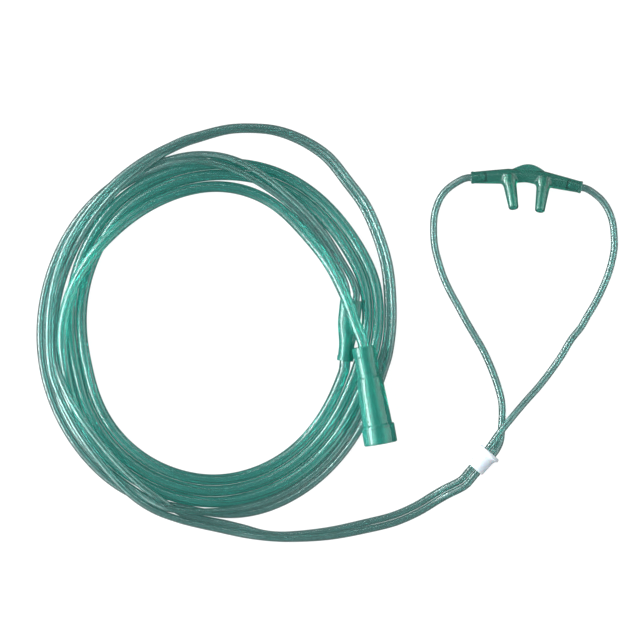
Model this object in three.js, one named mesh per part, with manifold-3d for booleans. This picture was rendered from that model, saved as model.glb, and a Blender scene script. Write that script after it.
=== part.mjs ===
// Nasal oxygen cannula lying flat: nasal piece, two thin tubes, slider, coil, Y connector, main tube, supply connector.
// Millimetres, +Z up, the floor is z = 0. The origin is on the floor under the middle of the nasal piece.

import * as THREE from "three";
import { mergeVertices } from "three/addons/utils/BufferGeometryUtils.js";
import Module from "manifold-3d";

const wasm = await Module();
wasm.setup();

// Tubes
const thinDiameter = 3.0;
const mainDiameter = 4.6;
const fitClearance = 0.25; // radial gap between a tube and the socket that holds it
const restGap = 0.3; // gap kept between solids that lie against each other
const pairGap = 0.3; // gap between the two thin tubes where they run side by side
const floorGap = 0.15; // under a thin tube, so that no bend of it dips below the floor

// Nasal piece
const barLeftLength = 24.1; // from the bend to the left end
const barRightLength = 22.7;
const barLeftTilt = 2.1; // degrees below level, going left
const barRightTilt = 12.7; // degrees below level, going right
const barBendRun = 8; // length of bar on each side of the bend that the curve takes up
const barEndWidth = 4.9;
const barProngWidth = 6.4; // widest, where the prongs stand
const barMiddleWidth = 4.9;
const barThicknessShare = 0.9; // thickness over width of the bar's oval section
const barRimLength = 1.2;
const barRimHeight = 0.15;
const socketDepth = 7;
const channelDiameter = 3.0;
const prongSpacing = 15; // between the prongs' roots, along the bar
const prongShift = -0.9; // of the point midway between the roots, from the bend
const prongReach = 15.0; // from the bar's centre line to the tip
const prongRootDiameter = 5.4;
const prongTipDiameter = 4.1;
const prongFlare = 0.7; // how far the root's fillet widens the prong
const prongFilletStart = 2.6; // from the bar's centre line
const prongFilletLength = 2.2;
const prongBoreDiameter = 2.9;
const prongRise = 25; // degrees above the floor
const prongToeIn = 8.5; // degrees, of each prong towards the other, seen from above
const tabWidth = 28;
const tabReach = 5.3; // from the bar's centre line
const tabThickness = 1.3;
const tabHeight = 1.2; // of its underside above the floor
const tabEdge = 0.2; // chamfer
const tabRoot = 1.2; // how far it reaches into the bar past the centre line

// Slider
const sliderDiameter = 8.0;
const sliderLength = 9.4;
const sliderFlangeDiameter = 10.2;
const sliderFlangeLength = 1.6;
const sliderChamfer = 0.4;
const sliderCentre = [-18.5, -113.3];
const sliderAngle = 49; // degrees of its axis from +X, towards the nasal piece
const sliderTravel = 6; // down the two tubes, away from the nasal piece
const sliderRun = 1.4; // straight tube past each end of the slider's path

// Coil
const coilCentre = [-131.2, -60.5];
const coilMeanRadius = 68.5; // along Y, at the middle of the turns
const coilAcross = 0.921; // its size along X over that along Y
const coilWidth = 18.4;
const coilHeight = 7.6;
const coilCorner = 2.2;

// Y connector
const yBottom = [-75.8, -71.8]; // centre of the main tube's end
const yTop = [-73.2, -46.4]; // centre of the thin tubes' end
const yTopWidth = 9.4;
const yTopThickness = 5.6;
const yTopLength = 8;
const yBlendLength = 12;
const yStemDiameter = 6.4;
const yRimDiameter = 6.9;
const yRimLength = 2.1;
const yThinSocket = 7.5; // depth
const yMainSocket = 12; // depth
const yThinWall = 0.5; // between the two thin tubes' sockets
const yPassage = 2.2; // bore between the sockets
const yPassageWidth = 4.8; // of that bore from side to side
const yTubeLead = 4; // tube that shows beyond each end

// Supply connector
const supplyTop = [-68.1, -65.7, 10.6];
const supplyMouth = [-60.9, -106.2, 9.2];
const supplyCollarDiameter = 9.9;
const supplyCollarLength = 4.6;
const supplyNeckDiameter = 9.5;
const supplyShoulderDiameter = 11.0;
const supplyShoulderDepth = 13.3; // from the collar's end
const supplyBellDiameter = 12.3;
const supplyFlangeDiameter = 13.9;
const supplyFlangeLength = 8;
const supplySocketDepth = 12;
const supplyThroatDiameter = 3.6; // left between the socket and the bell
const supplyThroatLength = 2.5;
const supplyBellDepth = 14.5; // where the bell has narrowed to its own bore, from the mouth
const supplyMouthTaper = 0.3; // how much narrower the recess is at its bottom
const supplyBellBore = 8.6; // where the bell meets the mouth's recess
const supplyMouthBore = 11.4;
const supplyMouthDepth = 6.5;
const supplyChamfer = 0.4;

// Facets round a bore, a moulding and a tube, and how far a cutter reaches past what it cuts
const boreSides = 16;
const bodySides = 24;
const tubeSides = 8;
const past = 1;

const up = new THREE.Vector3(0, 0, 1);
const radians = THREE.MathUtils.degToRad;
const vector = (p) => new THREE.Vector3(p[0], p[1], p[2] ?? 0);

// A closed geometry as a solid that can be cut and joined.
function solid(geometry, matrix) {
  const bare = geometry.clone();
  bare.deleteAttribute("normal");
  bare.deleteAttribute("uv");
  if (matrix) bare.applyMatrix4(matrix);
  const merged = mergeVertices(bare, 1e-3);
  return new wasm.Manifold(
    new wasm.Mesh({
      numProp: 3,
      vertProperties: merged.attributes.position.array,
      triVerts: new Uint32Array(merged.index.array),
    }),
  );
}

function geometryOf(manifold) {
  const { vertProperties, triVerts } = manifold.getMesh();
  const geometry = new THREE.BufferGeometry();
  geometry.setAttribute("position", new THREE.BufferAttribute(vertProperties, 3));
  geometry.setIndex(new THREE.BufferAttribute(triVerts, 1));
  geometry.computeVertexNormals();
  return geometry;
}

// A body turned about Y from [radius, height] pairs that start and end on the axis, or close on themselves.
function turned(pairs, sides) {
  return new THREE.LatheGeometry(pairs.map(([r, y]) => new THREE.Vector2(r, y)), sides);
}

function plainCylinder(diameter, from, to, sides = boreSides) {
  const r = diameter / 2;
  return turned([[0, from], [r, from], [r, to], [0, to]], sides);
}

function routeOf(points) {
  return new THREE.CatmullRomCurve3(points.map(vector), false, "centripetal");
}

function tube(points, diameter, steps, sides = tubeSides) {
  const ring = [];
  for (let i = 0; i < sides; i++) {
    const angle = (2 * Math.PI * i) / sides;
    ring.push(new THREE.Vector2(Math.cos(angle), Math.sin(angle)).multiplyScalar(diameter / 2));
  }
  const extrudePath = routeOf(points);
  return new THREE.ExtrudeGeometry(new THREE.Shape(ring), { steps, bevelEnabled: false, extrudePath });
}

// The two tubes of a pair, from centre points [x, y, z, roll]: at roll 0 they lie side by side and at roll 90 one is on
// the other. z is the lower tube's centre. side is 1 for the tube on the left of the way they run, -1 for the other.
function pairSide(points, side) {
  const flat = routeOf(points.map(([x, y]) => [x, y, 0]));
  const pitch = (thinDiameter + pairGap) / 2;
  return points.map(([x, y, z, roll], i) => {
    const along = flat.getTangent(i / (points.length - 1));
    const left = new THREE.Vector3().crossVectors(up, along).normalize();
    const across = side * pitch * Math.cos(radians(roll));
    const lift = pitch * (Math.abs(Math.sin(radians(roll))) + side * Math.sin(radians(roll)));
    return [x + left.x * across, y + left.y * across, z + lift];
  });
}

// Nasal piece
const barThickness = barProngWidth * barThicknessShare;
const barLength = barLeftLength + barRightLength;
const leftWay = vector([-Math.cos(radians(barLeftTilt)), -Math.sin(radians(barLeftTilt))]);
const rightWay = vector([Math.cos(radians(barRightTilt)), -Math.sin(radians(barRightTilt))]);

// The bar's centre line, from the left end to the right, with the bend at x = y = 0.
const spine = new THREE.CurvePath();
const bendStart = leftWay.clone().multiplyScalar(barBendRun);
const bendEnd = rightWay.clone().multiplyScalar(barBendRun);
const leftEnd = leftWay.clone().multiplyScalar(barLeftLength);
const rightEnd = rightWay.clone().multiplyScalar(barRightLength);
spine.add(new THREE.LineCurve3(leftEnd, bendStart));
spine.add(new THREE.QuadraticBezierCurve3(bendStart, new THREE.Vector3(), bendEnd));
spine.add(new THREE.LineCurve3(bendEnd, rightEnd));

// A point of the bar, from how far along the centre line it is, off to its left, and up.
function onBar(along, left, height) {
  const share = THREE.MathUtils.clamp(along / barLength, 0, 1);
  const way = spine.getTangentAt(share);
  const beyond = along - share * barLength;
  const side = new THREE.Vector3().crossVectors(up, way);
  return spine.getPointAt(share).addScaledVector(way, beyond).addScaledVector(side, left).addScaledVector(up, height);
}

// A turned body laid along the bar's centre line.
function laidOnBar(pairs, sides, thicknessShare) {
  const geometry = turned(pairs, sides);
  const place = geometry.attributes.position;
  for (let i = 0; i < place.count; i++) {
    const point = onBar(place.getY(i), place.getZ(i), place.getX(i) * thicknessShare);
    place.setXYZ(i, point.x, point.y, point.z);
  }
  return geometry;
}

function barSolid() {
  const prongHalf = prongSpacing / 2;
  const middle = barLeftLength + prongShift;
  const widths = new THREE.SplineCurve([
    new THREE.Vector2(barEndWidth / 2, barRimLength),
    new THREE.Vector2((barEndWidth + barProngWidth) / 4, (middle - prongHalf) / 2),
    new THREE.Vector2(barProngWidth / 2, middle - prongHalf),
    new THREE.Vector2(barMiddleWidth / 2, middle),
    new THREE.Vector2(barProngWidth / 2, middle + prongHalf),
    new THREE.Vector2((barEndWidth + barProngWidth) / 4, (barLength + middle + prongHalf) / 2),
    new THREE.Vector2(barEndWidth / 2, barLength - barRimLength),
  ]);
  const body = widths.getPoints(24).map((p) => [p.x, p.y]);
  const rim = barEndWidth / 2 + barRimHeight;
  const leftRim = [[0, 0], [rim, 0], [rim, barRimLength]];
  const rightRim = [[rim, barLength - barRimLength], [rim, barLength], [0, barLength]];
  return solid(laidOnBar([...leftRim, ...body, ...rightRim], bodySides, barThicknessShare));
}

// The channel through the bar, wider at both ends for the tubes.
function barBore() {
  const socket = thinDiameter / 2 + fitClearance;
  const channel = channelDiameter / 2;
  const pairs = [[0, -past], [socket, -past], [socket, socketDepth]];
  for (let i = 0; i <= 10; i++) {
    pairs.push([channel, socketDepth + (i / 10) * (barLength - 2 * socketDepth)]);
  }
  pairs.push([socket, barLength - socketDepth], [socket, barLength + past], [0, barLength + past]);
  return solid(laidOnBar(pairs, boreSides, 1));
}

// side is -1 for the left prong, 1 for the right one.
function prongPlace(side) {
  const root = onBar(barLeftLength + prongShift + (side * prongSpacing) / 2, 0, 0);
  const heading = radians(-90 - side * prongToeIn);
  const rise = radians(prongRise);
  const way = new THREE.Vector3(
    Math.cos(heading) * Math.cos(rise),
    Math.sin(heading) * Math.cos(rise),
    Math.sin(rise),
  );
  const turn = new THREE.Quaternion().setFromUnitVectors(new THREE.Vector3(0, 1, 0), way);
  return new THREE.Matrix4().compose(root, turn, new THREE.Vector3(1, 1, 1));
}

function prongSolid(side) {
  const edge = 0.25;
  const rootRadius = prongRootDiameter / 2;
  const tipRadius = prongTipDiameter / 2;
  const pairs = [[0, 0], [rootRadius, 0]];
  for (let i = 0; i <= 4; i++) {
    const share = i / 4;
    pairs.push([rootRadius + prongFlare * (1 - share) ** 2, prongFilletStart + share * prongFilletLength]);
  }
  pairs.push([tipRadius + edge / 4, prongReach - edge], [tipRadius - edge / 2, prongReach], [0, prongReach]);
  return solid(turned(pairs, bodySides), prongPlace(side));
}

function prongBore(side) {
  return solid(plainCylinder(prongBoreDiameter, 0, prongReach + past, bodySides), prongPlace(side));
}

function tabSolid() {
  const outline = [];
  const parts = 20;
  for (let i = 0; i <= parts; i++) {
    const share = 1 - (2 * i) / parts;
    const reach = (tabReach / 2) * (1 + Math.cos(Math.PI * share));
    outline.push(new THREE.Vector2((share * tabWidth) / 2, reach));
  }
  outline.push(new THREE.Vector2(-tabWidth / 2, -tabRoot), new THREE.Vector2(tabWidth / 2, -tabRoot));
  const geometry = new THREE.ExtrudeGeometry(new THREE.Shape(outline), {
    depth: tabThickness, bevelEnabled: true, bevelSize: tabEdge, bevelThickness: tabEdge, bevelOffset: -tabEdge,
    bevelSegments: 1,
  });
  const middle = onBar(barLeftLength, 0, tabHeight - barThickness / 2);
  const tilt = radians((barLeftTilt - barRightTilt) / 2);
  const place = new THREE.Matrix4().makeRotationZ(tilt).setPosition(middle);
  return solid(geometry, place);
}

function nasalPieceGeometry() {
  let piece = barSolid().add(tabSolid());
  for (const side of [-1, 1]) piece = piece.add(prongSolid(side));
  piece = piece.subtract(barBore());
  for (const side of [-1, 1]) piece = piece.subtract(prongBore(side));
  return geometryOf(piece);
}

const nasalGeometry = nasalPieceGeometry();
nasalGeometry.computeBoundingBox();
const nasalMiddle = nasalGeometry.boundingBox.getCenter(new THREE.Vector3());
const nasalPlace = vector([-nasalMiddle.x, -nasalMiddle.y, barThickness / 2]);

// The first points of a tube, from the bottom of a socket of the nasal piece to just outside it.
function fromSocket(isLeft) {
  const depths = [-socketDepth + restGap, -socketDepth / 2, 0, 2];
  return depths.map((out) => {
    const along = isLeft ? -out : barLength + out;
    return onBar(along, 0, 0).add(nasalPlace).toArray();
  });
}

// Slider and the straight stretch of both tubes through it
const sliderHeight = sliderFlangeDiameter / 2;
const sliderWay = vector([Math.cos(radians(sliderAngle)), Math.sin(radians(sliderAngle))]);

// A centre point of the pair, so far from the slider's middle towards the nasal piece.
function throughSlider(distance) {
  const point = vector(sliderCentre).addScaledVector(sliderWay, distance);
  return [point.x, point.y, sliderHeight, 0];
}

function sliderRoute() {
  const from = sliderLength / 2 + sliderRun;
  const to = -sliderLength / 2 - sliderTravel - sliderRun;
  const parts = 5;
  const points = [];
  for (let i = 0; i <= parts; i++) points.push(throughSlider(from + ((to - from) * i) / parts));
  return points;
}

function sliderGeometry() {
  const half = sliderLength / 2;
  const r = sliderDiameter / 2;
  const flange = sliderFlangeDiameter / 2;
  const c = sliderChamfer;
  const body = turned(
    [
      [0, -half], [r - c, -half], [r, -half + c], [r, half - sliderFlangeLength],
      [flange - c, half - sliderFlangeLength], [flange, half - sliderFlangeLength + c],
      [flange, half - c], [flange - c, half], [0, half],
    ],
    28,
  );
  const boreRadius = thinDiameter / 2 + fitClearance;
  const offset = (thinDiameter + pairGap) / 2;
  const oval = new THREE.Shape();
  oval.absarc(offset, 0, boreRadius, -Math.PI / 2, Math.PI / 2);
  oval.absarc(-offset, 0, boreRadius, Math.PI / 2, (3 * Math.PI) / 2);
  const bore = new THREE.ExtrudeGeometry(oval, {
    depth: sliderLength + 2 * past, bevelEnabled: false, curveSegments: 8,
  });
  bore.translate(0, 0, -half - past);
  bore.rotateX(-Math.PI / 2);
  return geometryOf(solid(body).subtract(solid(bore)));
}

// Routes: hand-chosen points, after the ones that a socket or the slider sets
const thinHeight = thinDiameter / 2 + floorGap;
const over = thinHeight + thinDiameter + 2 * restGap; // of the right tube where it crosses over the left one

const leftRoute = [
  ...fromSocket(true),
  [-31.1, 1.5, 1.9], [-34.9, -2.0, thinHeight], [-37.6, -7.2, thinHeight], [-38.8, -13.1, thinHeight],
  [-38.5, -23.6, thinHeight], [-37.0, -30.0, thinHeight], [-34.9, -36.5, thinHeight], [-32.0, -42.9, thinHeight],
  [-28.8, -48.7, thinHeight], [-25.3, -55.2, thinHeight], [-21.2, -62.2, thinHeight], [-18.3, -67.2, thinHeight],
  [-14.6, -75.4, thinHeight], [-12.2, -82.1, thinHeight], [-10.5, -88.8, thinHeight], [-10.3, -94.3, thinHeight],
  [-10.6, -99.4, thinHeight], [-11.0, -105.0, 2.4],
];

const rightRoute = [
  ...fromSocket(false),
  [30.8, -4.3, 1.9], [34.0, -9.0, thinHeight], [35.8, -14.3, thinHeight], [36.4, -20.1, thinHeight],
  [36.4, -24.8, thinHeight], [35.5, -30.0, thinHeight], [33.8, -35.9, thinHeight], [31.4, -41.7, thinHeight],
  [28.5, -47.6, thinHeight], [25.0, -53.4, thinHeight], [22.7, -57.5, thinHeight], [18.5, -62.8, thinHeight],
  [14.1, -70.1, thinHeight], [6.2, -80.9, thinHeight], [-1.8, -90.0, 3.0], [-8.5, -98.0, over],
  [-12.9, -103.6, over], [-14.9, -106.6, over],
];

// The pair from below the slider to the coil, then its wide turn outside the coil: x, y, z and roll.
const ribbonRoute = [
  ...sliderRoute(),
  [-33.3, -126.0, 3.6, 0], [-38.5, -129.0, 2.2, 0], [-44.6, -132.8, thinHeight, 0],
  [-54.7, -137.4, thinHeight, 0], [-67.2, -140.6, thinHeight, 15], [-83.7, -143.8, thinHeight, 40],
  [-102.5, -145.0, thinHeight, 65], [-111.0, -144.2, thinHeight, 60], [-118.0, -142.7, thinHeight, 35],
  [-125.0, -141.1, thinHeight, 25],
];

const loopRoute = [
  [-142.5, 19.8, thinHeight, 60], [-137.1, 21.5, thinHeight, 62], [-124.2, 24.8, thinHeight, 70],
  [-111.7, 25.1, thinHeight, 70], [-104.6, 24.2, thinHeight, 66], [-96.7, 21.6, thinHeight, 60],
  [-88.7, 17.4, thinHeight, 55], [-82.3, 12.4, thinHeight, 50], [-75.0, 3.2, thinHeight, 48],
  [-67.7, -6.8, thinHeight, 46], [-62.1, -19.3, thinHeight, 48], [-58.3, -31.6, thinHeight, 52],
  [-56.7, -44.3, thinHeight, 58], [-56.6, -58.4, thinHeight, 62],
];

const mainEndRoute = [
  [-82.7, -29.7, 7.9], [-77.9, -39.3, 8.3], [-74.2, -48.4, 9.3], [-71.0, -57.6, 10.2], ...intoSupply(),
];

// The main tube's last points, inside the supply connector.
function intoSupply() {
  const way = vector(supplyMouth).sub(vector(supplyTop)).normalize();
  const depths = [-1.5, 1, supplySocketDepth / 2, supplySocketDepth - restGap];
  return depths.map((depth) => vector(supplyTop).addScaledVector(way, depth).toArray());
}

// Y connector
const yHeight = yRimDiameter / 2;
const yWay = vector(yTop).sub(vector(yBottom)).normalize();
const yLength = vector(yTop).distanceTo(vector(yBottom));
const yThinPitch = thinDiameter + 2 * fitClearance + yThinWall;
const yTurn = new THREE.Quaternion().setFromUnitVectors(new THREE.Vector3(0, 1, 0), yWay);
const yPlace = new THREE.Matrix4().compose(
  vector([...yBottom, yHeight]),
  yTurn,
  new THREE.Vector3(1, 1, 1),
);

// The connector's outside, grown by the margin, about its own Y axis from the main tube's end.
function yShell(margin) {
  const rim = yRimDiameter / 2 + margin;
  const stem = yStemDiameter / 2 + margin;
  const half = yTopThickness / 2 + margin;
  const blendStart = yLength - yTopLength - yBlendLength;
  const blendEnd = yLength - yTopLength;
  const pairs = [[0, -margin], [rim, -margin], [rim, yRimLength], [stem, yRimLength + 0.3], [stem, blendStart]];
  const parts = 4;
  for (let i = 1; i <= parts; i++) {
    const share = i / parts;
    pairs.push([THREE.MathUtils.lerp(stem, half, share), THREE.MathUtils.lerp(blendStart, blendEnd, share)]);
  }
  pairs.push([half, yLength + margin], [0, yLength + margin]);
  const geometry = turned(pairs, bodySides);
  const place = geometry.attributes.position;
  const widest = (yTopWidth / 2 + margin) / half;
  for (let i = 0; i < place.count; i++) {
    const share = THREE.MathUtils.smoothstep(place.getY(i), blendStart, blendEnd);
    place.setX(i, place.getX(i) * THREE.MathUtils.lerp(1, widest, share));
  }
  return geometry;
}

function yConnectorGeometry() {
  let piece = solid(yShell(0));
  const mainBore = plainCylinder(mainDiameter + 2 * fitClearance, -past, yMainSocket);
  piece = piece.subtract(solid(mainBore));
  for (const side of [-1, 1]) {
    const bore = plainCylinder(thinDiameter + 2 * fitClearance, yLength - yThinSocket, yLength + past);
    piece = piece.subtract(solid(bore.translate((side * yThinPitch) / 2, 0, 0)));
  }
  const passage = plainCylinder(yPassage, yMainSocket - past / 2, yLength - yThinSocket + past / 2);
  passage.scale(yPassageWidth / yPassage, 1, 1);
  return geometryOf(piece.subtract(solid(passage)));
}

// A straight tube end on the Y connector's axis, from one height on that axis to another.
function yTube(offset, from, to, diameter) {
  const points = [from, (from + to) / 2, to].map((height) => [offset, height, 0]);
  return tube(points, diameter, 2).applyMatrix4(yPlace);
}

// Supply connector
const supplyWay = vector(supplyTop).sub(vector(supplyMouth)).normalize();
const supplyLength = vector(supplyTop).distanceTo(vector(supplyMouth));
const supplyTurn = new THREE.Quaternion().setFromUnitVectors(new THREE.Vector3(0, 1, 0), supplyWay);
const supplyPlace = new THREE.Matrix4().compose(
  vector(supplyMouth),
  supplyTurn,
  new THREE.Vector3(1, 1, 1),
);

// The outside, as [radius, height above the mouth] pairs from the mouth's rim to the collar's end.
function supplyOutside(margin) {
  const flange = supplyFlangeDiameter / 2 + margin;
  const bell = supplyBellDiameter / 2 + margin;
  const shoulder = supplyShoulderDiameter / 2 + margin;
  const neck = supplyNeckDiameter / 2 + margin;
  const collar = supplyCollarDiameter / 2 + margin;
  const shoulderAt = supplyLength - supplyShoulderDepth;
  const c = supplyChamfer;
  return [
    [flange - c, -margin], [flange, c - margin], [flange, supplyFlangeLength - c],
    [flange - c, supplyFlangeLength + margin], [bell, supplyFlangeLength + margin],
    [shoulder, shoulderAt], [neck, shoulderAt + 1.2],
    [neck, supplyLength - supplyCollarLength], [collar, supplyLength - supplyCollarLength + c],
    [collar, supplyLength - c + margin], [collar - c, supplyLength + margin],
  ];
}

function supplyInside() {
  const socket = mainDiameter / 2 + fitClearance;
  const mouth = supplyMouthBore / 2;
  const bell = supplyBellBore / 2;
  const throat = supplyThroatDiameter / 2;
  const socketEnd = supplyLength - supplySocketDepth;
  return [
    [socket, supplyLength], [socket, socketEnd], [throat, socketEnd], [throat, socketEnd - supplyThroatLength],
    [bell, supplyBellDepth], [bell, supplyMouthDepth], [mouth - supplyMouthTaper, supplyMouthDepth], [mouth, 0],
  ];
}

function supplyGeometry() {
  const inside = supplyInside();
  const outside = supplyOutside(0);
  return turned([...outside, ...inside, outside[0]], 32);
}

// Coil: one solid of the wound turns' outer shape, with room left for what lies in it and on it
function coilGeometry() {
  const inner = coilMeanRadius - coilWidth / 2;
  const outer = coilMeanRadius + coilWidth / 2;
  const corners = [
    [outer - coilCorner, coilCorner, -90], [outer - coilCorner, coilHeight - coilCorner, 0],
    [inner + coilCorner, coilHeight - coilCorner, 90], [inner + coilCorner, coilCorner, 180],
  ];
  const pairs = [];
  for (const [x, y, start] of corners) {
    for (let i = 0; i <= 3; i++) {
      const angle = radians(start + i * 30);
      pairs.push([x + coilCorner * Math.cos(angle), y + coilCorner * Math.sin(angle)]);
    }
  }
  pairs.push(pairs[0]);
  const ring = turned(pairs, 64);
  ring.rotateX(Math.PI / 2);
  ring.scale(coilAcross, 1, 1);
  ring.translate(coilCentre[0], coilCentre[1], 0);
  let coil = solid(ring);
  coil = coil.subtract(solid(coilNotch()));
  const supplyRoom = turned([[0, -restGap], ...supplyOutside(restGap), [0, supplyLength + restGap]], bodySides);
  coil = coil.subtract(solid(supplyRoom, supplyPlace));
  coil = coil.subtract(solid(tube(mainEndRoute, mainDiameter + 2 * restGap, 12, 12)));
  return geometryOf(coil);
}

// The room for the Y connector and the tube ends that show beside it, open at the top.
function coilNotch() {
  const half = yTopWidth / 2 + restGap;
  const from = -yTubeLead - restGap;
  const length = yLength + 2 * (yTubeLead + restGap);
  const notch = new THREE.BoxGeometry(2 * half, length, 2 * coilHeight);
  return notch.translate(0, from + length / 2, 0).applyMatrix4(yPlace);
}

const colours = {
  nasal: 0x2f8f7c,
  thin: 0x9fc4bd,
  main: 0x6fd0b8,
  fitting: 0x35b997,
  slider: 0xc4d2da,
};

function material(colour, roughness) {
  return new THREE.MeshStandardMaterial({ color: colour, roughness, metalness: 0 });
}

const materials = {
  nasal: material(colours.nasal, 0.35),
  thin: material(colours.thin, 0.2),
  main: material(colours.main, 0.2),
  fitting: material(colours.fitting, 0.15),
  slider: material(colours.slider, 0.5),
};

const cannula = new THREE.Group();

function addPiece(name, geometry, finish) {
  const mesh = new THREE.Mesh(geometry, materials[finish]);
  mesh.name = name;
  cannula.add(mesh);
  return mesh;
}

addPiece("nasal_piece", nasalGeometry, "nasal").position.copy(nasalPlace);

// The tube from the left socket leaves the crossing on the right of the pair, and the other one on its left.
const toCoilLeft = pairSide(ribbonRoute, 1);
const toCoilRight = pairSide(ribbonRoute, -1);
addPiece("thin_tube_left", tube([...leftRoute, ...toCoilLeft], thinDiameter, 76), "thin");
addPiece("thin_tube_right", tube([...rightRoute, ...toCoilRight], thinDiameter, 76), "thin");
addPiece("thin_tube_left_loop", tube(pairSide(loopRoute, 1), thinDiameter, 24), "thin");
addPiece("thin_tube_right_loop", tube(pairSide(loopRoute, -1), thinDiameter, 24), "thin");

const slider = addPiece("slider", sliderGeometry(), "slider");
slider.position.set(sliderCentre[0], sliderCentre[1], sliderHeight);
slider.rotation.z = radians(sliderAngle - 90);

addPiece("coil", coilGeometry(), "main");

const yConnector = addPiece("y_connector", yConnectorGeometry(), "fitting");
yConnector.applyMatrix4(yPlace);
const thinStart = yLength - yThinSocket + restGap;
const thinEnd = yLength + yTubeLead;
addPiece("thin_tube_left_end", yTube(yThinPitch / 2, thinStart, thinEnd, thinDiameter), "thin");
addPiece("thin_tube_right_end", yTube(-yThinPitch / 2, thinStart, thinEnd, thinDiameter), "thin");
addPiece("main_tube_start", yTube(0, -yTubeLead, yMainSocket - restGap, mainDiameter), "main");

addPiece("main_tube_end", tube(mainEndRoute, mainDiameter, 14, 10), "main");
addPiece("supply_connector", supplyGeometry(), "fitting").applyMatrix4(supplyPlace);

export default cannula;
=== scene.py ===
import math

import bmesh
import bpy
import numpy as np
from mathutils import Matrix, Vector
from mathutils.kdtree import KDTree


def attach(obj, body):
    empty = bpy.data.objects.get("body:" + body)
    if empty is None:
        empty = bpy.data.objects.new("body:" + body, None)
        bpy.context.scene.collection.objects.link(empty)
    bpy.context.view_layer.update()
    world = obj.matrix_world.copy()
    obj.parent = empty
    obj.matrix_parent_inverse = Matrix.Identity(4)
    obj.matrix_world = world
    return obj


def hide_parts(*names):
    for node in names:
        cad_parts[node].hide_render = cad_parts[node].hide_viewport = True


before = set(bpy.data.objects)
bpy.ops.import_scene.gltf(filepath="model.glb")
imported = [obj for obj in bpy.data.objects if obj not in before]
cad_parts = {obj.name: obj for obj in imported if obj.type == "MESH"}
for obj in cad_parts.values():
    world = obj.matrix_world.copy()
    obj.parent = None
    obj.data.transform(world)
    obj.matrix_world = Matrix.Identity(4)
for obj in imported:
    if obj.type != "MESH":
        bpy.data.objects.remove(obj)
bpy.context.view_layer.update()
scene = bpy.context.scene

# Routes and sizes are in millimetres here, and meshes are in metres.
mm = 0.001

tubes = {
    "thinDiameter": 3.0,
    "thinBore": 1.9,
    "mainDiameter": 4.6,
    "mainBore": 2.9,  # mean, of the ribbed bore
    "mainRibs": 6,
    "mainRibHeight": 0.5,
    "mainTwist": 0.25,  # metres of tube in which the ribs turn once
    "pairGap": 0.08,
    "ringStep": 2.0,
}
pairPitch = (tubes["thinDiameter"] + tubes["pairGap"]) / 2  # from the pair's middle to each tube's axis
coil = {"x": -131.2, "y": -60.5, "acrossX": 63.1, "acrossY": 68.5}
coilMiddle = np.array([coil["x"], coil["y"]])
coilAcross = np.array([coil["acrossX"], coil["acrossY"]])

nasalPiece = {
    "leftLength": 24.1,
    "rightLength": 22.7,
    "leftTilt": 2.1,
    "rightTilt": 12.7,
    "bendRun": 8.0,
    "endWidth": 4.9,
    "prongWidth": 6.4,
    "middleWidth": 4.9,
    "thicknessShare": 0.9,
    "rimLength": 1.2,
    "rimHeight": 0.15,
    "socketDepth": 7.0,
    "socketBore": 3.5,
    "channelBore": 3.0,
    "prongSpacing": 15.0,
    "prongShift": -0.9,
    "prongReach": 15.0,
    "prongRoot": 5.4,
    "prongTip": 4.1,
    "prongFlare": 0.9,  # wider at the bar
    "prongFilletStart": 2.5,
    "prongFilletLength": 2.6,
    "prongBore": 2.9,
    "prongRise": 25.0,
    "prongToeIn": 8.5,
    "tabWidth": 28.0,
    "tabReach": 5.3,
    "tabThickness": 1.3,
    "tabHeight": 1.2,
    "tabRoot": 1.2,
    "skinGrain": 0.22,  # of the even faces that join the forms
    "skinRounds": 5,  # of smoothing
    "place": (0.7314, 5.5028),  # of the bar's middle
}
slider = {
    "diameter": 8.0,
    "lowerDiameter": 7.6,
    "length": 9.4,
    "flangeDiameter": 10.2,
    "flangeLength": 1.6,
    "centre": (-18.5, -113.3, 5.1),
    "angle": 49.0,
    "bore": 3.5,
    "straightFrom": 6.1,  # the tubes lie straight from here
    "straightTo": -12.1,  # to here along its axis
}
yConnector = {
    "bottom": (-75.8, -71.8, 3.45),
    "top": (-73.2, -46.4, 3.45),
    "topWidth": 9.4,
    "topThickness": 5.6,
    "topLength": 8.0,
    "blendLength": 12.0,
    "stemDiameter": 6.4,
    "rimDiameter": 6.9,
    "rimLength": 2.1,
    "thinSocket": 7.5,
    "thinPitch": 4.0,
    "thinBore": 3.5,
    "mainSocket": 12.0,
    "mainBore": 5.1,
    "passage": 2.2,
    "passageWidth": 4.62,
}
supplyConnector = {
    "top": (-68.1, -65.7, 10.6),
    "mouth": (-60.9, -106.2, 9.2),
    "collarDiameter": 9.9,
    "collarLength": 4.6,
    "neckDiameter": 9.5,
    "shoulderDiameter": 11.0,
    "shoulderDepth": 13.3,
    "bellDiameter": 12.3,
    "flangeDiameter": 13.9,
    "flangeLength": 8.0,
    "socketDepth": 12.0,
    "socketBore": 5.1,
    "throat": 3.6,
    "throatLength": 2.5,
    "bellBore": 8.6,
    "bellDepth": 14.5,
    "mouthBore": 11.4,
    "mouthDepth": 6.5,
}

# Camera, looking straight down on what the photograph shows
view = {"middle": (-86.25, -54.7), "height": 3.0, "width": 266.7, "lens": 500.0}
viewMiddle = Vector((view["middle"][0] * mm, view["middle"][1] * mm, 0))


def makeCamera():
    data = bpy.data.cameras.new("camera")
    data.lens = view["lens"]
    data.sensor_width = 36
    camera = bpy.data.objects.new("camera", data)
    scene.collection.objects.link(camera)
    distance = view["width"] * mm * data.lens / data.sensor_width
    camera.location = (viewMiddle.x, viewMiddle.y, distance + view["height"] * mm)
    scene.camera = camera


makeCamera()
print("camera placed")


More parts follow.
